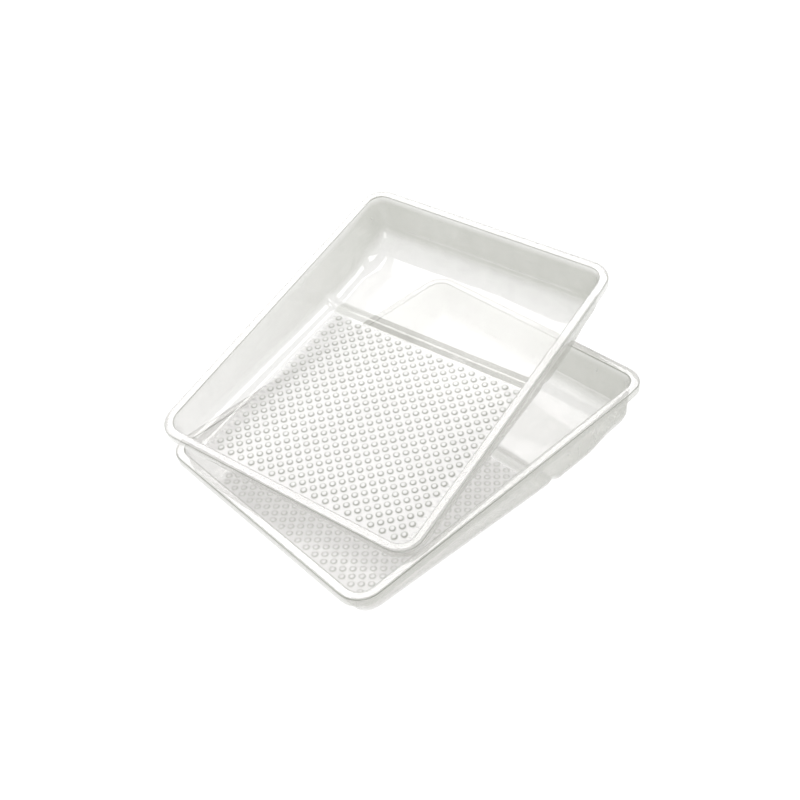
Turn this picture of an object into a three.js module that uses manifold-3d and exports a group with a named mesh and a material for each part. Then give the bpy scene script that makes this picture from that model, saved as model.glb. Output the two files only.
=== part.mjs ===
// Two identical clear plastic tray liners for a 230 mm paint roller.
// One stands on the bench; the other lies askew on top of it and lifts off.
// Each is one vacuum-formed sheet: rim and lip, drafted walls, a shallow ramp and a deep well.
import * as THREE from 'three';
import { mergeVertices } from 'three/addons/utils/BufferGeometryUtils.js';
import Module from 'manifold-3d';

const wasm = await Module();
wasm.setup();

// Driving dimensions, in millimetres. A tray's own frame has its origin at the middle of the
// front lip, on the rim's top: +X across the tray, +Y towards the well, +Z up.
const rimWidth = 290; // outside the lips
const rimLength = 364;
const rimCorner = 24; // outer corner radius, seen from above
const flangeWidth = 9.5; // flat rim, lip to wall
const lipDepth = 8.6; // turned-down lip
const sheet = 0.7; // plastic thickness
const edgeRound = 2.2; // bend between wall and rim, and between rim and lip
const wallDraft = Math.tan(THREE.MathUtils.degToRad(5)); // walls lean in so that trays nest

const frontDepth = 41.5; // rim to ramp, where the ramp starts
const frontInset = 25; // lip to the start of the flat ramp
const sideInset = 28.5; // lip to the edge of the flat floor, where the side bend starts
const backInset = 58; // lip to the end of the flat well floor: the back bend is the widest
const frontFloorCorner = 10; // corner radii of the flat floor's outline
const backFloorCorner = 20;
const mostBendRise = 25; // how far up the walls a bend reaches at most

const ridgeRun = 6.5; // foot of the cross ridge, where the ramp ends, to ridge top
const ridgeRise = 3.2;
const stepRun = 12.5; // ridge top to well floor
const wellLength = 54; // flat well floor, front to back
const wellDepth = 62; // rim to well floor
const rampEndAboveWell = 3.03;

// How the upper tray lies on the lower one, in the lower tray's own frame. It leans on three
// points: both side rims near the front, and the rim at the back.
const upperShift = new THREE.Vector2(2.3, 25.5); // of the front lip's middle
const upperYaw = THREE.MathUtils.degToRad(12.84);
const upperRoll = THREE.MathUtils.degToRad(5.73); // left side raised
const upperPitch = THREE.MathUtils.degToRad(9.84); // well end raised
const restGap = 0.3; // left between the two trays where they touch
const dropHeight = 200; // the upper tray is lowered from here until it rests

// Facets
const cornerSteps = 4; // over the rim's corner
const spreadSteps = 4; // over the quarter turn of a corner's sections
const leastTurn = THREE.MathUtils.degToRad(1.5); // between two sections of a corner
const bendSteps = 5;
const edgeSteps = 2;
const ridgeSteps = 3;

const lerp = THREE.MathUtils.lerp;

// Height of the floor's upper face at a distance from the front lip, and its slope.
const wellFromFront = rimLength - backInset - wellLength;
const ridgeTopFromFront = wellFromFront - stepRun;
const ridgeFromFront = ridgeTopFromFront - ridgeRun;
const rampFall = wellDepth - rampEndAboveWell - frontDepth;
const rampSlope = rampFall / (ridgeFromFront - frontInset);
const rampHeight = (y) => -frontDepth - (y - frontInset) * rampSlope;
const ridgeTopHeight = rampHeight(ridgeTopFromFront) + ridgeRise;

function floorHeight(y) {
  if (y <= ridgeFromFront) return rampHeight(y);
  if (y >= wellFromFront) return -wellDepth;
  if (y <= ridgeTopFromFront) {
    const along = (y - ridgeFromFront) / ridgeRun;
    return lerp(rampHeight(y), ridgeTopHeight, (1 - Math.cos(Math.PI * along)) / 2);
  }
  const along = (y - ridgeTopFromFront) / stepRun;
  return lerp(ridgeTopHeight, -wellDepth, (1 - Math.cos(Math.PI * along)) / 2);
}

function floorNormal(y) {
  const reach = 0.05;
  const rise = floorHeight(y + reach) - floorHeight(y - reach);
  return new THREE.Vector3(0, -rise, 2 * reach).normalize();
}

// Where a ray in plan, from a point inside the tray, meets the rim outline moved inwards.
function outlinePoint(centre, direction, inset) {
  const halfWidth = rimWidth / 2 - inset;
  const front = inset;
  const back = rimLength - inset;
  const radius = rimCorner - inset;
  const sideward = Math.sign(direction.x) || 1;
  const backward = Math.sign(direction.y) || 1;
  const end = backward > 0 ? back : front;
  const toSide = Math.abs(direction.x) > 1e-9 ? (sideward * halfWidth - centre.x) / direction.x : Infinity;
  const toEnd = Math.abs(direction.y) > 1e-9 ? (end - centre.y) / direction.y : Infinity;
  const hit = centre.clone().addScaledVector(direction, Math.min(toSide, toEnd));
  const corner = new THREE.Vector2(sideward * (halfWidth - radius), end - backward * radius);
  const pastCorner = (hit.x - corner.x) * sideward > 0 && (hit.y - corner.y) * backward > 0;
  if (!pastCorner || radius <= 0) return hit;
  const offset = centre.clone().sub(corner);
  const half = offset.dot(direction);
  const reach = -half + Math.sqrt(half * half - offset.lengthSq() + radius * radius);
  return centre.clone().addScaledVector(direction, reach);
}

// Directions in plan of a corner's sections: evenly spread, and one for each facet of the rim's corner.
function cornerAngles(centre, backward) {
  const radius = rimCorner - flangeWidth;
  const arcX = rimWidth / 2 - rimCorner;
  const arcY = backward > 0 ? rimLength - rimCorner : rimCorner;
  const angles = [];
  for (let i = 0; i <= spreadSteps; i += 1) angles.push((i * Math.PI) / 2 / spreadSteps);
  for (let i = 0; i <= cornerSteps; i += 1) {
    const around = (i * Math.PI) / 2 / cornerSteps;
    const x = arcX + radius * Math.cos(around) - centre.x;
    const y = backward * (arcY - centre.y) + radius * Math.sin(around);
    angles.push(Math.atan2(y, x));
  }
  angles.sort((a, b) => a - b);
  return angles.filter((angle, i) => i === 0 || angle - angles[i - 1] > leastTurn);
}

// Stations down the right-hand side of the flat floor, front to back.
// Each has a centre that its section turns about, a direction in plan and the floor's edge point.
function sideStations() {
  const stations = [];
  const edge = rimWidth / 2 - sideInset;
  const addCorner = (endY, backward, radius) => {
    const centre = new THREE.Vector2(edge - radius, endY - backward * radius);
    const angles = cornerAngles(centre, backward);
    if (backward < 0) angles.reverse();
    for (const angle of angles) {
      const direction = new THREE.Vector2(Math.cos(angle), backward * Math.sin(angle));
      stations.push({ centre, direction, floor: centre.clone().addScaledVector(direction, radius) });
    }
  };
  const addSide = (y) => {
    const floor = new THREE.Vector2(edge, y);
    stations.push({ centre: new THREE.Vector2(0, y), direction: new THREE.Vector2(1, 0), floor });
  };
  addCorner(frontInset, -1, frontFloorCorner);
  for (let i = 0; i <= ridgeSteps; i += 1) addSide(ridgeFromFront + (ridgeRun * i) / ridgeSteps);
  for (let i = 1; i <= ridgeSteps; i += 1) addSide(ridgeTopFromFront + (stepRun * i) / ridgeSteps);
  addCorner(rimLength - backInset, 1, backFloorCorner);
  return stations;
}

const mirrored = (point) => new THREE.Vector2(-point.x, point.y);

// All stations, once round the tray: up the right side, then down the left.
function allStations() {
  const right = sideStations();
  const left = right.map(({ centre, direction, floor }) => ({
    centre: mirrored(centre),
    direction: mirrored(direction),
    floor: mirrored(floor),
  }));
  return [...right, ...left.reverse()];
}

// The section of the upper face at a station, from the floor's edge out to the lip's lower edge.
function sectionPoints({ centre, direction, floor }) {
  const at = (inset, z) => {
    const point = outlinePoint(centre, direction, inset);
    return new THREE.Vector3(point.x, point.y, z);
  };
  const wallAt = (z) => at(flangeWidth - z * wallDraft, z);

  // Bend between floor and wall: a quarter ellipse that is tangent to both.
  const start = new THREE.Vector3(floor.x, floor.y, floorHeight(floor.y));
  let foot = wallAt(start.z);
  for (let i = 0; i < 3; i += 1) {
    foot = wallAt(floorHeight(foot.y));
  }
  const bendRise = Math.min(foot.distanceTo(start), mostBendRise, -foot.z - 2 * edgeRound);
  const end = wallAt(foot.z + bendRise);
  const points = [];
  for (let i = 0; i <= bendSteps; i += 1) {
    const angle = (i * Math.PI) / 2 / bendSteps;
    const point = foot.clone();
    point.addScaledVector(start.clone().sub(foot), 1 - Math.sin(angle));
    point.addScaledVector(end.clone().sub(foot), 1 - Math.cos(angle));
    points.push(point);
  }

  // Bend up over the wall's top onto the rim, then over the rim's edge into the lip.
  for (let i = 0; i <= edgeSteps; i += 1) {
    const angle = (i * Math.PI) / 2 / edgeSteps;
    const inset = flangeWidth - edgeRound * (1 - Math.cos(angle));
    points.push(at(inset, -edgeRound * (1 - Math.sin(angle))));
  }
  for (let i = 0; i <= edgeSteps; i += 1) {
    const angle = (i * Math.PI) / 2 / edgeSteps;
    points.push(at(edgeRound * (1 - Math.sin(angle)), -edgeRound * (1 - Math.cos(angle))));
  }
  points.push(at(0, -lipDepth));
  return points;
}

// One tray as a closed sheet: the upper face, the same face moved in by the sheet's thickness,
// and the narrow band along the lip's lower edge that joins them.
function trayGeometry() {
  const stations = allStations();
  const sections = stations.map(sectionPoints);
  const count = stations.length;
  const levels = sections[0].length;
  const triangles = [];
  const addQuad = (a, b, c, d) => triangles.push(a, b, c, a, c, d);
  const index = (station, level) => (station % count) * levels + level;

  for (let s = 0; s < count; s += 1) {
    for (let l = 0; l < levels - 1; l += 1) {
      addQuad(index(s, l), index(s, l + 1), index(s + 1, l + 1), index(s + 1, l));
    }
  }
  for (let s = 0; s < count / 2 - 1; s += 1) {
    addQuad(index(count - 1 - s, 0), index(s, 0), index(s + 1, 0), index(count - 2 - s, 0));
  }

  const upper = new THREE.BufferGeometry().setFromPoints(sections.flat());
  upper.setIndex(triangles);
  upper.computeVertexNormals();
  const lowerPoints = sections.flat().map((point, i) => {
    const normal = new THREE.Vector3().fromBufferAttribute(upper.attributes.normal, i);
    const level = i % levels;
    if (level === 0) normal.copy(floorNormal(point.y));
    if (level === levels - 1) normal.setZ(0).normalize();
    return point.clone().addScaledVector(normal, -sheet);
  });

  const offset = count * levels;
  const closed = [...triangles];
  for (let i = 0; i < triangles.length; i += 3) {
    closed.push(offset + triangles[i], offset + triangles[i + 2], offset + triangles[i + 1]);
  }
  for (let s = 0; s < count; s += 1) {
    const here = index(s, levels - 1);
    const next = index(s + 1, levels - 1);
    closed.push(here, offset + here, offset + next, here, offset + next, next);
  }
  const geometry = new THREE.BufferGeometry().setFromPoints([...sections.flat(), ...lowerPoints]);
  geometry.setIndex(closed);
  geometry.computeVertexNormals();
  return geometry;
}

// The volume that two meshes share, both taken in their common parent's frame.
function solidOf(mesh) {
  mesh.updateMatrix();
  const bare = mesh.geometry.clone().applyMatrix4(mesh.matrix);
  bare.deleteAttribute('normal');
  const merged = mergeVertices(bare);
  const vertProperties = new Float32Array(merged.attributes.position.array);
  const triVerts = new Uint32Array(merged.index.array);
  return new wasm.Manifold(new wasm.Mesh({ numProp: 3, vertProperties, triVerts }));
}

// Lowers a mesh from above until it would touch the one below, and leaves the rest gap.
function setDownOn(mesh, below) {
  const belowSolid = solidOf(below);
  let clear = dropHeight;
  let touching = -wellDepth;
  while (clear - touching > restGap / 50) {
    mesh.position.z = (clear + touching) / 2;
    const shared = solidOf(mesh).intersect(belowSolid);
    if (shared.getMesh().triVerts.length > 0) touching = mesh.position.z;
    else clear = mesh.position.z;
  }
  mesh.position.z = clear + restGap;
}

function clearPlastic() {
  const look = { color: 0xe6e9e3, roughness: 0.12, metalness: 0, transparent: true, opacity: 0.4 };
  return new THREE.MeshStandardMaterial(look);
}

const lowerTray = new THREE.Mesh(trayGeometry(), clearPlastic());
lowerTray.name = 'lower_tray';

const upperTray = new THREE.Mesh(trayGeometry(), clearPlastic());
upperTray.name = 'upper_tray';
upperTray.rotation.set(upperPitch, upperRoll, upperYaw, 'ZYX');
upperTray.position.set(upperShift.x, upperShift.y, 0);
setDownOn(upperTray, lowerTray);

// The lower tray stands on the front end of its ramp and the front edge of its well.
const stack = new THREE.Group();
stack.add(lowerTray, upperTray);
stack.rotation.x = Math.atan2(wellDepth - frontDepth, wellFromFront - frontInset);

// The row's origin: under the middle of the pair, on the bench.
const bounds = new THREE.Box3().setFromObject(stack, true);
stack.position.set(-(bounds.min.x + bounds.max.x) / 2, -(bounds.min.y + bounds.max.y) / 2, -bounds.min.z);

const group = new THREE.Group();
group.add(stack);

export default group;
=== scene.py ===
import math

import bpy
import numpy as np
from mathutils import Matrix, Vector


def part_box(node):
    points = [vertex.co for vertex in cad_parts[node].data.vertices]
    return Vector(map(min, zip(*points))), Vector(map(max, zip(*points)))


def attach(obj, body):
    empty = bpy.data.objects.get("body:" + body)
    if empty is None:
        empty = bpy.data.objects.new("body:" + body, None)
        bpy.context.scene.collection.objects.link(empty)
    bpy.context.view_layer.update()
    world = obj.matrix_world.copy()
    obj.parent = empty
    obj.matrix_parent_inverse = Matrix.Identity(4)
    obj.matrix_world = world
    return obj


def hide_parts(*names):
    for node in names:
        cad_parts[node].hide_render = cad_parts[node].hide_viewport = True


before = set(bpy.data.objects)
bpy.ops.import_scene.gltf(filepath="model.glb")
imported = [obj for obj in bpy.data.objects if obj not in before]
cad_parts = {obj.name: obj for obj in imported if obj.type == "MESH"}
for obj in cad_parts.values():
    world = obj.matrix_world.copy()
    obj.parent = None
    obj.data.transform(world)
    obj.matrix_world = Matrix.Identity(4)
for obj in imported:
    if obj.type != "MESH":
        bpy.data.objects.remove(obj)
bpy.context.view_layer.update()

mm = 0.001


cameraSet = {
    "eye": (660.6, -514.2, 678.2),  # mm, in the frame of the pair
    "azimuth": 51.88,  # degrees, 0 looks along +Y
    "elevation": 37.05,
    "roll": -5.35,
    "lens": 48.15,  # mm
    "sensor": 36,
    "nearest": 0.01,  # m
}

studioSet = {
    "view": "Standard",
    "floorSize": 14.0,  # m
    "bounces": 24,
    "clearBounces": 48,  # a ray may cross this many faces of the sheets
    "floorColour": (0.24, 0.24, 0.239, 1),
    "floorGlow": 0.86,  # the table is lit from inside, so that nothing on it casts a dark shadow
    "worldStrength": 0.44,
    # name: place and size in m, brightness
    "lamps": {
        "overheadSoftbox": ((-1.15, 0.5, 2.15), 1.9, 3.9),
        "backRightSoftbox": ((1.5, 1.25, 1.5), 1.1, 3.4),
        "frontLeftSoftbox": ((-1.6, -1.45, 1.25), 1.2, 2.4),
        "frontRightSoftbox": ((1.55, -1.15, 1.15), 1.1, 3.0),
    },
}


def makeCamera():
    camera = bpy.data.objects.new("camera", bpy.data.cameras.new("camera"))
    bpy.context.scene.collection.objects.link(camera)
    camera.data.lens = cameraSet["lens"]
    camera.data.sensor_width = cameraSet["sensor"]
    camera.data.clip_start = cameraSet["nearest"]
    azimuth, elevation, roll = (
        math.radians(cameraSet[key]) for key in ("azimuth", "elevation", "roll")
    )
    ahead = Vector((
        -math.sin(azimuth) * math.cos(elevation),
        math.cos(azimuth) * math.cos(elevation),
        -math.sin(elevation),
    ))
    level = ahead.cross(Vector((0, 0, 1))).normalized()
    right = level * math.cos(roll) + level.cross(ahead) * math.sin(roll)
    turn = Matrix((right, right.cross(ahead), -ahead)).transposed().to_4x4()
    camera.matrix_world = Matrix.Translation(Vector(cameraSet["eye"]) * mm) @ turn
    bpy.context.scene.camera = camera


def makeStudio():
    # white surroundings, softboxes aimed at the pair, and the table it stands on
    scene = bpy.context.scene
    scene.view_settings.view_transform = studioSet["view"]
    scene.cycles.max_bounces = studioSet["bounces"]
    scene.cycles.transparent_max_bounces = studioSet["clearBounces"]
    world = bpy.data.worlds.new("studio")
    world.use_nodes = True
    background = world.node_tree.nodes["Background"]
    background.inputs["Color"].default_value = (1, 1, 1, 1)
    background.inputs["Strength"].default_value = studioSet["worldStrength"]
    scene.world = world
    for name, (place, size, brightness) in studioSet["lamps"].items():
        data = bpy.data.lights.new(name, "AREA")
        data.size = size
        data.energy = brightness * math.pi * size * size
        lamp = bpy.data.objects.new(name, data)
        scene.collection.objects.link(lamp)
        lamp.location = place
        lamp.rotation_euler = (-Vector(place)).to_track_quat("-Z", "Y").to_euler()
    half = studioSet["floorSize"] / 2
    corners = [(-half, -half, 0), (half, -half, 0), (half, half, 0), (-half, half, 0)]
    mesh = bpy.data.meshes.new("floor")
    mesh.from_pydata(corners, [], [(0, 1, 2, 3)])
    floor = bpy.data.objects.new("floor", mesh)
    scene.collection.objects.link(floor)
    floor.data.materials.append(floorMaterial())


class Signal:
    # a shader socket, with operators that add Math nodes

    def __init__(self, recipe, socket):
        self.recipe = recipe
        self.socket = socket

    def maths(self, operation, *others, first=True):
        values = [self, *others] if first else [*others, self]
        return self.recipe.node("ShaderNodeMath", {"operation": operation}, values)

    def __add__(self, other):
        return self.maths("ADD", other)

    def __sub__(self, other):
        return self.maths("SUBTRACT", other)

    def __rsub__(self, other):
        return self.maths("SUBTRACT", other, first=False)

    def __mul__(self, other):
        return self.maths("MULTIPLY", other)

    def __pow__(self, other):
        return self.maths("POWER", other)

    def __abs__(self):
        return self.maths("ABSOLUTE")

    __radd__ = __add__
    __rmul__ = __mul__

    def output(self, name):
        return Signal(self.recipe, self.socket.node.outputs[name])


class Recipe:
    # one material and its nodes

    def __init__(self, name):
        self.material = bpy.data.materials.new(name)
        self.material.use_nodes = True
        self.tree = self.material.node_tree
        self.tree.nodes.clear()

    def node(self, kind, settings=None, inputs=()):
        made = self.tree.nodes.new(kind)
        for key, value in (settings or {}).items():
            if key == "stops":
                self.setStops(made.color_ramp, value)
            else:
                setattr(made, key, value)
        pairs = inputs.items() if isinstance(inputs, dict) else enumerate(inputs)
        for key, value in pairs:
            socket = self.choose(made.inputs, key)
            if isinstance(value, Signal):
                self.tree.links.new(value.socket, socket)
            else:
                socket.default_value = value
        shown = [socket for socket in made.outputs if socket.enabled]
        return Signal(self, shown[0]) if shown else made

    def choose(self, sockets, key):
        # a Mix node has sockets of one name for each kind of value: the enabled one is meant
        if isinstance(key, int):
            return sockets[key]
        return next(socket for socket in sockets if socket.name == key and socket.enabled)

    def setStops(self, ramp, stops):
        while len(ramp.elements) < len(stops):
            ramp.elements.new(0.5)
        for element, (place, colour) in zip(ramp.elements, stops):
            element.position = place
            element.color = colour

    def noise(self, scale, detail=2, roughness=0.5, where=None):
        inputs = {"Scale": scale, "Detail": detail, "Roughness": roughness}
        if where is not None:
            inputs["Vector"] = where
        return self.node("ShaderNodeTexNoise", {}, inputs)

    def share(self, name):
        # a value that the mesh carries at each vertex
        return self.node("ShaderNodeAttribute", {"attribute_name": name}).output("Fac")

    def ramp(self, value, *stops):
        grey = [(place, (level, level, level, 1)) for place, level in stops]
        return self.node("ShaderNodeValToRGB", {"stops": grey}, {"Fac": value})

    def finish(self, shader):
        self.node("ShaderNodeOutputMaterial", {}, {"Surface": shader})
        return self.material


def floorMaterial():
    recipe = Recipe("paleFloor")
    grain = recipe.noise(6, 3)
    roughness = 0.62 + 0.1 * grain
    shader = recipe.node("ShaderNodeBsdfPrincipled", {}, {
        "Base Color": studioSet["floorColour"],
        "Roughness": roughness,
        "Specular IOR Level": 0.1,
        "Emission Color": (1, 1, 1, 1),
        "Emission Strength": studioSet["floorGlow"],
    })
    return recipe.finish(shader)


plasticSet = {
    # what one face lets through where the sheet lies flat, and the darker share that paints shade on
    # walls, lips, dimple flanks and the ridge
    "passes": (0.992, 0.99, 0.983, 1),
    "shadedPasses": (0.832, 0.835, 0.81, 1),
    # what colour its haze is where the sheet lies flat, the painted shade on walls, lips, dimple
    # flanks and ridge, and the painted dark line at the rim's bends
    "flatColour": (0.80, 0.79, 0.79, 1),
    "shadedColour": (0.60, 0.61, 0.57, 1),
    "edgeShadeColour": (0.40, 0.41, 0.37, 1),
    "filmRoughness": 0.5,
    # share of light that one face scatters, and what is added to it
    "haze": 0.24,
    "edgeHaze": 0.35,  # where the sheet is seen edge on, and at the rim's bends, where it carries the painted dark line
    # more haze where the wall shade is painted, so more of the painted grey shows
    "wallHaze": 0.06,
    "frostHaze": 0.34,  # the ramp is frosted between its dimples
    "flowHaze": 0.08,
    "streaks": 0.09,
    # share of light that one face mirrors, head on, and how sharply
    "mirrors": 0.045,
    "gloss": 0.06,
    "scuffRoughness": 0.05,
    # slow waves left by forming, fine scuffs, and streaks up the walls, as strong as the painted wall
    # shade there
    "flowScale": 26,
    "scuffScale": 420,
    "scuffHeight": 0.02,
    "streakScale": (60, 60, 9),
    "bumpStrength": 0.07,
    "bumpDistance": 0.0012,
}


def plasticMaterial():
    # one face of the sheet: it lets light straight through, scatters some and mirrors some; shade is
    # painted into what passes and into the haze's colour on walls, lips, rim bends, dimple flanks and
    # the ridge
    recipe = Recipe("clearSheet")
    place = recipe.node("ShaderNodeTexCoord").output("Object")
    upright = recipe.node("ShaderNodeSeparateXYZ", {}, [
        recipe.node("ShaderNodeNewGeometry").output("Normal"),
    ]).output("Z")
    slope = 1 - abs(upright)
    drawn, rim, flank, frost = (recipe.share(name) for name in ("drawn", "rim", "flank", "frost"))
    # painted shade: steep walls, the lip, dimple flanks and the ridge get a greyer haze and let less
    # through
    wallShade = recipe.ramp(slope, (0.05, 0.0), (0.45, 0.3), (0.85, 1.0))
    rimShade = recipe.ramp(slope, (0.05, 0.0), (0.95, 0.45))
    shade = drawn * wallShade + rim * rimShade + flank
    # a painted dark line along the rim's bends
    line = rim * recipe.ramp(slope, (0.12, 0.0), (0.3, 1.0), (0.5, 1.0), (0.75, 0.0))
    flow = recipe.noise(plasticSet["flowScale"], 3, 0.55, place)
    scuffs = recipe.noise(plasticSet["scuffScale"], 4, 0.7, place)
    bump = recipe.node("ShaderNodeBump", {}, {
        "Strength": plasticSet["bumpStrength"],
        "Distance": plasticSet["bumpDistance"],
        "Height": flow + plasticSet["scuffHeight"] * scuffs,
    })
    glancing = recipe.node("ShaderNodeLayerWeight", {}, {"Blend": 0.5, "Normal": bump})
    facing = glancing.output("Facing")
    # less passes where shade is painted
    flatClear = recipe.node("ShaderNodeBsdfTransparent", {}, {"Color": plasticSet["passes"]})
    shadedClear = recipe.node("ShaderNodeBsdfTransparent", {}, {"Color": plasticSet["shadedPasses"]})
    clear = recipe.node("ShaderNodeMixShader", {}, [shade + line, flatClear, shadedClear])
    colour = recipe.node("ShaderNodeMix", {"data_type": "RGBA"}, {
        "Factor": shade,
        "A": plasticSet["flatColour"],
        "B": plasticSet["shadedColour"],
    })
    outlined = recipe.node("ShaderNodeMix", {"data_type": "RGBA"}, {
        "Factor": line,
        "A": colour,
        "B": plasticSet["edgeShadeColour"],
    })
    film = recipe.node("ShaderNodeBsdfPrincipled", {}, {
        "Base Color": outlined,
        "Roughness": plasticSet["filmRoughness"],
        "Specular IOR Level": 0.0,
        "Normal": bump,
    })
    stretched = recipe.node(
        "ShaderNodeVectorMath", {"operation": "MULTIPLY"}, [place, plasticSet["streakScale"]]
    )
    streaks = recipe.noise(1, 3, 0.6, stretched)
    haze = plasticSet["haze"] + plasticSet["flowHaze"] * (flow - 0.5)
    haze = haze + plasticSet["edgeHaze"] * (facing ** 3 + line)
    haze = haze + plasticSet["wallHaze"] * drawn * wallShade + plasticSet["frostHaze"] * frost
    haze = haze + plasticSet["streaks"] * (streaks - 0.5) * drawn
    body = recipe.node("ShaderNodeMixShader", {}, [haze, clear, film])
    shine = recipe.node("ShaderNodeBsdfAnisotropic", {}, {
        "Color": (1, 1, 1, 1),
        "Roughness": plasticSet["gloss"] + plasticSet["scuffRoughness"] * scuffs,
        "Normal": bump,
    })
    mirrored = plasticSet["mirrors"] + (1 - plasticSet["mirrors"]) * facing ** 5  # as glass does
    return recipe.finish(recipe.node("ShaderNodeMixShader", {}, [mirrored, body, shine]))


# one tray, in mm, in its own frame: origin at the middle of the front lip, on the rim's top,
# +X across and +Y to the well
traySet = {
    "rimWidth": 290.0,
    "rimLength": 364.0,
    "rimCorner": 24.0,
    "flangeWidth": 9.5,
    "lipDepth": 8.6,
    "sheet": 0.7,
    "edgeRound": 2.2,
    "wallDraft": math.tan(math.radians(5)),
    "frontDepth": 41.5,
    "rampSlope": math.tan(math.radians(4.8)),
    "frontInset": 25.0,
    "sideInset": 28.5,
    "backInset": 58.0,
    "frontFloorCorner": 10.0,
    "backFloorCorner": 20.0,
    "mostBendRise": 25.0,  # how far up the walls a bend reaches at most
    "ridgeFoot": 233.0,  # from the front lip
    "ridgeRun": 6.5,
    "ridgeRise": 3.2,
    "stepRun": 12.5,
    "wellDepth": 62.0,
    "creaseTurn": 86,  # degrees up the back bend, of a crease left by forming
    "creaseHalf": 2,
    "creaseDepth": 0.45,
}

dimpleSet = {
    "halfPitch": 6.35,
    "firstRow": 30.6,  # from the front lip
    "rows": 32,
    "radius": 3.1,
    "height": 0.95,
    "domeEnd": 0.83,  # shares of the radius: the dome ends and the soft foot begins
    "footEnd": 1.16,
    # share of the radius, and how much painted shade the flank gets there: a dark ring round a bright
    # top
    "rings": (
        (0.3, 0.0), (0.5, 0.0), (0.66, 0.4), (0.78, 0.9), (0.88, 1.0), (1.0, 0.8), (1.16, 0.2),
    ),
    "quarterSteps": 4,
    "leastStep": 0.02,  # mm, of a dimple's edge above the floor
}

fineness = {
    "leastTurn": math.radians(0.8),  # between two sections of a corner
    "cornerSteps": 12,
    "rimArcSteps": 8,
    "bendSteps": 10,
    "wallSteps": 6,
    "edgeSteps": 4,
    "ridgeSteps": 8,
    "stepSteps": 12,
    "wellSteps": 6,
}

ridgeTop = traySet["ridgeFoot"] + traySet["ridgeRun"]
wellStart = ridgeTop + traySet["stepRun"]
floorHalf = traySet["rimWidth"] / 2 - traySet["sideInset"]
lastColumn = 18  # half pitches from the middle to the side of the flat floor
frontColumns = 17  # of them, what lies in front of the floor's front corner


def rampHeight(y):
    return -traySet["frontDepth"] - (y - traySet["frontInset"]) * traySet["rampSlope"]


def floorHeight(y):
    top = rampHeight(ridgeTop) + traySet["ridgeRise"]
    if y <= traySet["ridgeFoot"]:
        return rampHeight(y)
    if y >= wellStart:
        return -traySet["wellDepth"]
    if y <= ridgeTop:
        along = (y - traySet["ridgeFoot"]) / traySet["ridgeRun"]
        low, high = rampHeight(y), top
    else:
        along = (y - ridgeTop) / traySet["stepRun"]
        low, high = top, -traySet["wellDepth"]
    return low + (high - low) * (1 - math.cos(math.pi * along)) / 2


def outlinePoint(centre, direction, inset):
    # where a ray in plan meets the rim outline moved inwards
    halfWidth = traySet["rimWidth"] / 2 - inset
    radius = traySet["rimCorner"] - inset
    sideward = 1 if direction[0] >= 0 else -1
    backward = 1 if direction[1] >= 0 else -1
    end = traySet["rimLength"] - inset if backward > 0 else inset
    reaches = []
    if abs(direction[0]) > 1e-9:
        reaches.append((sideward * halfWidth - centre[0]) / direction[0])
    if abs(direction[1]) > 1e-9:
        reaches.append((end - centre[1]) / direction[1])
    hit = centre + direction * min(reaches)
    corner = np.array([sideward * (halfWidth - radius), end - backward * radius])
    past = (hit - corner) * (sideward, backward)
    if radius <= 0 or past.min() <= 0:
        return hit
    offset = centre - corner
    half = offset @ direction
    return centre + direction * (-half + math.sqrt(half * half - offset @ offset + radius * radius))


def cornerAngles(centre, backward):
    # directions of a corner's sections: evenly spread, and more towards the rim's own corner
    radius = traySet["rimCorner"] - traySet["flangeWidth"]
    arcX = traySet["rimWidth"] / 2 - traySet["rimCorner"]
    arcY = traySet["rimLength"] - traySet["rimCorner"] if backward > 0 else traySet["rimCorner"]
    steps = fineness["cornerSteps"]
    angles = [math.pi / 2 * i / steps for i in range(steps + 1)]
    for i in range(fineness["rimArcSteps"] + 1):
        around = math.pi / 2 * i / fineness["rimArcSteps"]
        x = arcX + radius * math.cos(around) - centre[0]
        y = backward * (arcY - centre[1]) + radius * math.sin(around)
        angles.append(math.atan2(y, x))
    kept = [0.0]
    for angle in sorted(angles):
        if angle - kept[-1] > fineness["leastTurn"] and angle < math.pi / 2 - fineness["leastTurn"]:
            kept.append(angle)
    return kept + [math.pi / 2]


def spaced(start, stop, steps):
    return [start + (stop - start) * i / steps for i in range(1, steps + 1)]


class TrayMesh:
    # the upper face of one tray, built up from its floor outwards

    def __init__(self):
        self.points = []
        self.faces = []
        self.known = {}
        self.flankShades = {}  # vertex: how much painted shade it gets as part of a dimple's flank

    def vertex(self, x, y, z):
        key = (round(x, 3), round(y, 3), round(z, 3))
        if key not in self.known:
            self.known[key] = len(self.points)
            self.points.append((x, y, z))
        return self.known[key]

    def floorVertex(self, x, y, lift=0.0):
        return self.vertex(x, y, floorHeight(y) + lift)

    def face(self, *corners):
        ring = [c for i, c in enumerate(corners) if c != corners[i - 1]]
        if len(ring) < 3:
            return
        flat = [self.points[c] for c in ring]
        area = sum(
            flat[i - 1][0] * flat[i][1] - flat[i][0] * flat[i - 1][1] for i in range(len(flat))
        )
        self.faces.append(ring if area > 0 else ring[::-1])

    def wallFace(self, *corners):
        self.faces.append(list(corners))


def dimpleLift(share):
    # a flat-topped dome with a soft foot, by distance from its middle as a share of its radius
    domeEnd, footEnd = dimpleSet["domeEnd"], dimpleSet["footEnd"]
    if share >= footEnd:
        return 0.0
    bend = min(share, domeEnd)
    dome = dimpleSet["height"] * (1 - 0.98 * bend ** 4) + dimpleSet["leastStep"]
    return dome * (1 - (share - bend) / (footEnd - domeEnd)) ** 2


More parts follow.
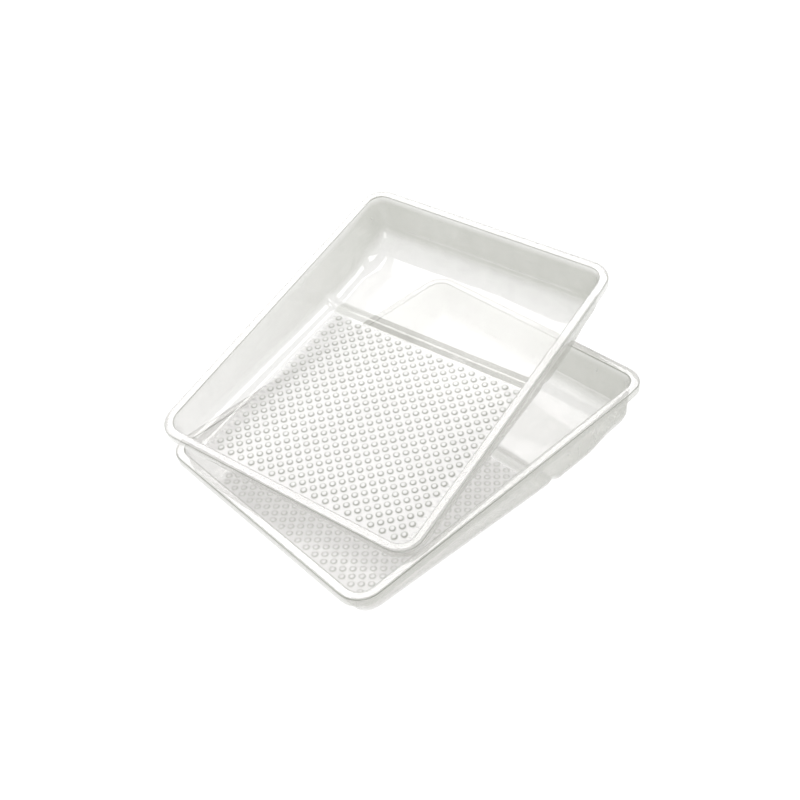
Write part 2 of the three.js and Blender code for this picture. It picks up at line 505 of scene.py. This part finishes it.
def rightStations():
    # floor-edge points from the middle of the front to the middle of the back
    # each is (centre the section turns about, direction in plan, floor point)
    stations = []
    front, back = traySet["frontInset"], traySet["rimLength"] - traySet["backInset"]
    pitch = dimpleSet["halfPitch"]

    def add(centre, direction, floor):
        stations.append((np.array(centre, float), np.array(direction, float), np.array(floor, float)))

    def corner(radius, endY, backward):
        centre = np.array([floorHalf - radius, endY - backward * radius])
        angles = cornerAngles(centre, backward)
        for angle in angles if backward > 0 else angles[::-1]:
            direction = np.array([math.cos(angle), backward * math.sin(angle)])
            add(centre, direction, centre + direction * radius)

    frontRadius = traySet["frontFloorCorner"]
    for column in range(frontColumns):
        add((column * pitch, front + frontRadius), (0, -1), (column * pitch, front))
    corner(frontRadius, front, -1)
    sides = [dimpleSet["firstRow"] + row * pitch for row in range(1, dimpleSet["rows"])]
    sides += [traySet["ridgeFoot"]]
    sides += spaced(traySet["ridgeFoot"], ridgeTop, fineness["ridgeSteps"])
    sides += spaced(ridgeTop, wellStart, fineness["stepSteps"])
    wellEnd = back - traySet["backFloorCorner"]
    sides += spaced(wellStart, wellEnd, fineness["wellSteps"])[:-1]
    for y in sides:
        add((0, y), (1, 0), (floorHalf, y))
    corner(traySet["backFloorCorner"], back, 1)
    reach = floorHalf - traySet["backFloorCorner"]
    for column in range(lastColumn - 1, -1, -1):
        x = reach * columnPlace(column) / floorHalf
        add((x, wellEnd), (0, 1), (x, back))
    return stations


def columnPlace(column):
    if abs(column) == lastColumn:
        return math.copysign(floorHalf, column)
    return column * dimpleSet["halfPitch"]


def hasDimple(column, row):
    return (column + row) % 2 == 0 and abs(column) < lastColumn and 0 <= row < dimpleSet["rows"]


def gridPoints(stations):
    # the plan position of each corner of the dimples' grid, pulled onto the floor's outline
    # at the edges, and what other outline points lie between two corners
    rows = dimpleSet["rows"]
    pitch = dimpleSet["halfPitch"]
    places = {}
    for row in range(-1, rows + 1):
        y = dimpleSet["firstRow"] + row * pitch
        y = max(y, traySet["frontInset"]) if row < rows else traySet["ridgeFoot"]
        for column in range(-lastColumn, lastColumn + 1):
            places[column, row] = np.array([columnPlace(column), y])
    outline = [floor for _, _, floor in stations]
    between = {}
    path = [(frontColumns - 1, -1), (frontColumns, -1)]
    path += [(lastColumn, row) for row in (-1, 0, 1)]
    found = []
    for key in path:
        wanted = places[key]
        if key == (lastColumn, -1):
            wanted = np.array([floorHalf, traySet["frontInset"]])
        found.append(min(range(len(outline)), key=lambda i: np.linalg.norm(outline[i] - wanted)))
    for (key, index), (nextKey, nextIndex) in zip(zip(path, found), list(zip(path, found))[1:]):
        places[key] = outline[index]
        places[nextKey] = outline[nextIndex]
        between[key, nextKey] = outline[index + 1:nextIndex]
    flip = np.array([-1, 1])
    for key in path:
        places[-key[0], key[1]] = places[key] * flip
    for (key, nextKey), points in list(between.items()):
        left, nextLeft = (-key[0], key[1]), (-nextKey[0], nextKey[1])
        between[left, nextLeft] = [point * flip for point in points]
    for (key, nextKey), points in list(between.items()):
        between[nextKey, key] = points[::-1]
    return places, between


def addQuarter(mesh, places, between, middle, sideways, lengthways):
    # the triangle from one grid corner to its neighbours across and along
    steps = dimpleSet["quarterSteps"]
    ends = places[sideways], places[lengthways]
    diagonal = [ends[0] + (ends[1] - ends[0]) * i / steps for i in range(steps + 1)]
    outer = [mesh.floorVertex(*point) for point in diagonal]
    centre = places[middle]
    if not hasDimple(*middle):
        there = [mesh.floorVertex(*p) for p in between.get((middle, sideways), [])]
        home = [mesh.floorVertex(*p) for p in between.get((lengthways, middle), [])]
        mesh.face(mesh.floorVertex(*centre), *there, *outer, *home)
        return
    across = 1 if sideways[0] > middle[0] else -1
    along = 1 if lengthways[1] > middle[1] else -1
    inner = None
    for share, flank in dimpleSet["rings"]:
        ring = []
        for i in range(steps + 1):
            angle = math.pi / 2 * i / steps
            reach = share * dimpleSet["radius"]
            x = centre[0] + across * reach * math.cos(angle)
            y = centre[1] + along * reach * math.sin(angle)
            ring.append(mesh.floorVertex(x, y, dimpleLift(share)))
            mesh.flankShades[ring[-1]] = flank
        top = mesh.floorVertex(*centre, dimpleLift(0))
        for i in range(steps):
            if inner is None:
                mesh.face(top, ring[i], ring[i + 1])
            else:
                mesh.face(inner[i], ring[i], ring[i + 1], inner[i + 1])
        inner = ring
    for i in range(steps):
        mesh.face(inner[i], outer[i], outer[i + 1], inner[i + 1])


def addRamp(mesh, stations):
    places, between = gridPoints(stations)
    for row in range(-1, dimpleSet["rows"]):
        for column in range(-lastColumn, lastColumn):
            corners = [(column, row), (column + 1, row), (column + 1, row + 1), (column, row + 1)]
            start = 0 if (column + row) % 2 == 0 else 1
            for middle in (start, start + 2):
                here = corners[middle]
                near, far = corners[middle - 1], corners[(middle + 1) % 4]
                sideways, lengthways = (near, far) if near[1] == here[1] else (far, near)
                addQuarter(mesh, places, between, here, sideways, lengthways)


def addWell(mesh, stations):
    # rows across the ridge, the step and the well floor
    rows = [floor for _, direction, floor in stations if floor[1] >= traySet["ridgeFoot"]]
    back = traySet["rimLength"] - traySet["backInset"]
    rows = [floor for floor in rows if floor[1] < back - 1e-6]
    rows.append(np.array([floorHalf - traySet["backFloorCorner"], back]))
    columns = range(-lastColumn, lastColumn + 1)
    previous = None
    for floor in rows:
        line = [mesh.floorVertex(floor[0] * columnPlace(c) / floorHalf, floor[1]) for c in columns]
        if previous:
            for i in range(len(line) - 1):
                mesh.face(previous[i], previous[i + 1], line[i + 1], line[i])
        previous = line


def sectionPoints(centre, direction, floor):
    # the upper face at a station, from the floor's edge to the lip's lower edge
    def at(inset, z):
        return np.array([*outlinePoint(centre, direction, inset), z])

    def wallAt(z):
        return at(traySet["flangeWidth"] - z * traySet["wallDraft"], z)

    rounding, flange = traySet["edgeRound"], traySet["flangeWidth"]
    start = np.array([*floor, floorHeight(floor[1])])
    foot = wallAt(start[2])
    for _ in range(3):
        foot = wallAt(floorHeight(foot[1]))
    rise = min(np.linalg.norm(foot - start), traySet["mostBendRise"], -foot[2] - 2 * rounding)
    end = wallAt(foot[2] + rise)
    points = []
    outward = np.array([*direction, 0.0]) * traySet["creaseDepth"] * max(0, direction[1]) ** 6
    middle, half = traySet["creaseTurn"], traySet["creaseHalf"]
    creases = {middle - half: 0, middle: 1, middle + half: 0}
    turns = [90 * i / fineness["bendSteps"] for i in range(1, fineness["bendSteps"] + 1)]
    for degrees in sorted([*turns, *creases]):
        angle = math.radians(degrees)
        point = foot + (start - foot) * (1 - math.sin(angle)) + (end - foot) * (1 - math.cos(angle))
        points.append(point + outward * creases.get(degrees, 0))
    top = at(flange, -rounding)
    for i in range(1, fineness["wallSteps"]):
        points.append(wallAt(end[2] + (top[2] - end[2]) * i / fineness["wallSteps"]))
    turns = [math.pi / 2 * i / fineness["edgeSteps"] for i in range(fineness["edgeSteps"] + 1)]
    for angle in turns:
        points.append(at(flange - rounding * (1 - math.cos(angle)), -rounding * (1 - math.sin(angle))))
    points.append(at(flange / 2, 0))
    for angle in turns:
        points.append(at(rounding * (1 - math.sin(angle)), -rounding * (1 - math.cos(angle))))
    depth = traySet["lipDepth"]
    points += [at(0, -rounding - (depth - rounding) * share) for share in (0.5, 1.0)]
    return points


def addSides(mesh, stations):
    # bends, walls, rim and lip, once round the tray; gives back the lip's lower edge
    flip = np.array([-1, 1])
    left = [(c * flip, d * flip, f * flip) for c, d, f in stations if f[0] > 1e-6]
    rings = []
    for centre, direction, floor in [*stations, *left[::-1]]:
        line = [mesh.floorVertex(*floor)]
        line += [mesh.vertex(*point) for point in sectionPoints(centre, direction, floor)]
        rings.append(line)
    for here, following in zip(rings, [*rings[1:], rings[0]]):
        for i in range(len(here) - 1):
            mesh.wallFace(here[i], here[i + 1], following[i + 1], following[i])
    return [line[-1] for line in rings]


def vertexNormals(points, faces):
    normals = np.zeros_like(points)
    for size in {len(face) for face in faces}:
        group = np.array([face for face in faces if len(face) == size])
        corners = points[group]
        normal = np.zeros((len(group), 3))
        for i in range(1, size - 1):
            normal += np.cross(corners[:, i] - corners[:, 0], corners[:, i + 1] - corners[:, 0])
        for i in range(size):
            np.add.at(normals, group[:, i], normal)
    return normals / np.linalg.norm(normals, axis=1, keepdims=True)


def traySheet():
    # the upper face, the same face a sheet's thickness below, and the edge that joins them
    mesh = TrayMesh()
    stations = rightStations()
    addRamp(mesh, stations)
    addWell(mesh, stations)
    edge = addSides(mesh, stations)
    points = np.array(mesh.points)
    normals = vertexNormals(points, mesh.faces)
    normals[edge, 2] = 0
    normals[edge] /= np.linalg.norm(normals[edge], axis=1, keepdims=True)
    count = len(points)
    faces = list(mesh.faces)
    faces += [[count + corner for corner in face[::-1]] for face in mesh.faces]
    for here, following in zip(edge, [*edge[1:], edge[0]]):
        faces.append([here, count + here, count + following, following])
    sheet = np.vstack([points, points - normals * traySet["sheet"]])
    shares = shadeAndFrostShares(points)
    shares["flank"][list(mesh.flankShades)] = list(mesh.flankShades.values())
    return sheet, faces, {name: np.tile(values, 2) for name, values in shares.items()}


# how the sheet's look changes over a tray
# where a tray's painted shade and its frost fall
shadeAndFrostSet = {
    "leastWallShade": 0.1,  # least painted wall shade, at the shallow end; 1 is the back wall
    "rightWallShade": 0.35,  # painted wall shade added on the right side, towards the shallow end
    # painted shade on the ridge band
    "ridgeShade": 0.5,
    "ridgeFade": 1.5,  # mm
    "frostFade": 2.0,
}


def shadeAndFrostShares(points):
    # painted shade on the walls and bends: none on the rim and lip, least at the shallow end, most at
    # the back wall, more on the right;
    # where the rim, the ridge with its painted shade, and the frosted ramp are
    across, along, height = points.T
    edges = [traySet["rimWidth"] / 2 - abs(across), along, traySet["rimLength"] - along]
    below = np.clip((-height - traySet["edgeRound"]) / traySet["edgeRound"], 0, 1)
    inside = below * (np.minimum.reduce(edges) > traySet["flangeWidth"] / 2)
    deep = np.clip(along / traySet["rimLength"], 0, 1) ** 1.5
    start, end = traySet["ridgeFoot"], wellStart
    ridge = np.clip(np.minimum(along - start, end - along) / shadeAndFrostSet["ridgeFade"], 0, 1)
    ridge *= (abs(across) < floorHalf + 0.1) * (height < -traySet["frontDepth"])
    least = shadeAndFrostSet["leastWallShade"]
    sideward = shadeAndFrostSet["rightWallShade"] * np.clip(across / floorHalf, 0, 1)
    # painted wall shade: least at the shallow end, growing to the back wall, more on the right side
    drawn = inside * (1 - ridge) * (least + (1 - least) * deep + sideward * (1 - deep))
    frost = np.clip((start - along) / shadeAndFrostSet["frostFade"], 0, 1)
    frost *= abs(across) < floorHalf - 1
    frost *= height < 2 - traySet["frontDepth"]
    # painted shade on the ridge band, carried with the dimples' flank shade
    flank = shadeAndFrostSet["ridgeShade"] * ridge
    return {"drawn": drawn, "rim": 1 - inside, "flank": flank, "frost": frost}


def standTilt():
    # a tray stands on the front end of its ramp and the front edge of its well
    rise = traySet["wellDepth"] - traySet["frontDepth"]
    return math.atan2(rise, wellStart - traySet["frontInset"])


# how each tray is turned, in degrees about Z, then Y, then X, in the lower tray's own frame,
# and how strongly it shows its painted shade on walls, dimple flanks and rim, and its frosted ramp
layingSet = {
    "lower_tray": {
        "piece": "lowerLiner",
        "body": "lower",
        "yaw": 0.0,
        "roll": 0.0,
        "pitch": 0.0,
        "drawn": 0.85,
        "frost": 0.3,
        "flank": 0.6,
        "rim": 1.3,
    },
    "upper_tray": {
        "piece": "upperLiner",
        "body": "upper",
        "yaw": 12.84,
        "roll": 5.73,
        "pitch": 9.84,
        "drawn": 0.95,
        "frost": 1.0,
        "flank": 1.0,
        "rim": 0.8,
    },
}

sharpFrom = 50  # degrees between two faces that meet in a sharp edge


def makeTray(node, points, faces, shares, material):
    laying = layingSet[node]
    angles = [math.radians(laying[key]) for key in ("yaw", "roll", "pitch")]
    turn = (
        Matrix.Rotation(standTilt(), 3, "X")
        @ Matrix.Rotation(angles[0], 3, "Z")
        @ Matrix.Rotation(angles[1], 3, "Y")
        @ Matrix.Rotation(angles[2], 3, "X")
    )
    placed = points @ np.array(turn).T * mm
    low, high = (np.array(corner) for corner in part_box(node))
    placed += (low + high) / 2 - (placed.min(0) + placed.max(0)) / 2
    mesh = bpy.data.meshes.new(laying["piece"])
    mesh.from_pydata(placed.tolist(), [], faces)
    for name, values in shares.items():
        layer = mesh.attributes.new(name, "FLOAT", "POINT")
        layer.data.foreach_set("value", (values * laying[name]).astype(np.float32))
    mesh.shade_smooth()
    mesh.set_sharp_from_angle(angle=math.radians(sharpFrom))
    piece = bpy.data.objects.new(laying["piece"], mesh)
    bpy.context.scene.collection.objects.link(piece)
    mesh.materials.append(material)
    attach(piece, laying["body"])
    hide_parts(node)
    print(laying["piece"], len(mesh.vertices), "vertices", len(mesh.polygons), "faces")
    return piece


makeCamera()
makeStudio()
print("camera and studio ready")

sheetPoints, sheetFaces, sheetShares = traySheet()
print("tray shape worked out")
clearSheet = plasticMaterial()
for nodeName in layingSet:
    makeTray(nodeName, sheetPoints, sheetFaces, sheetShares, clearSheet)
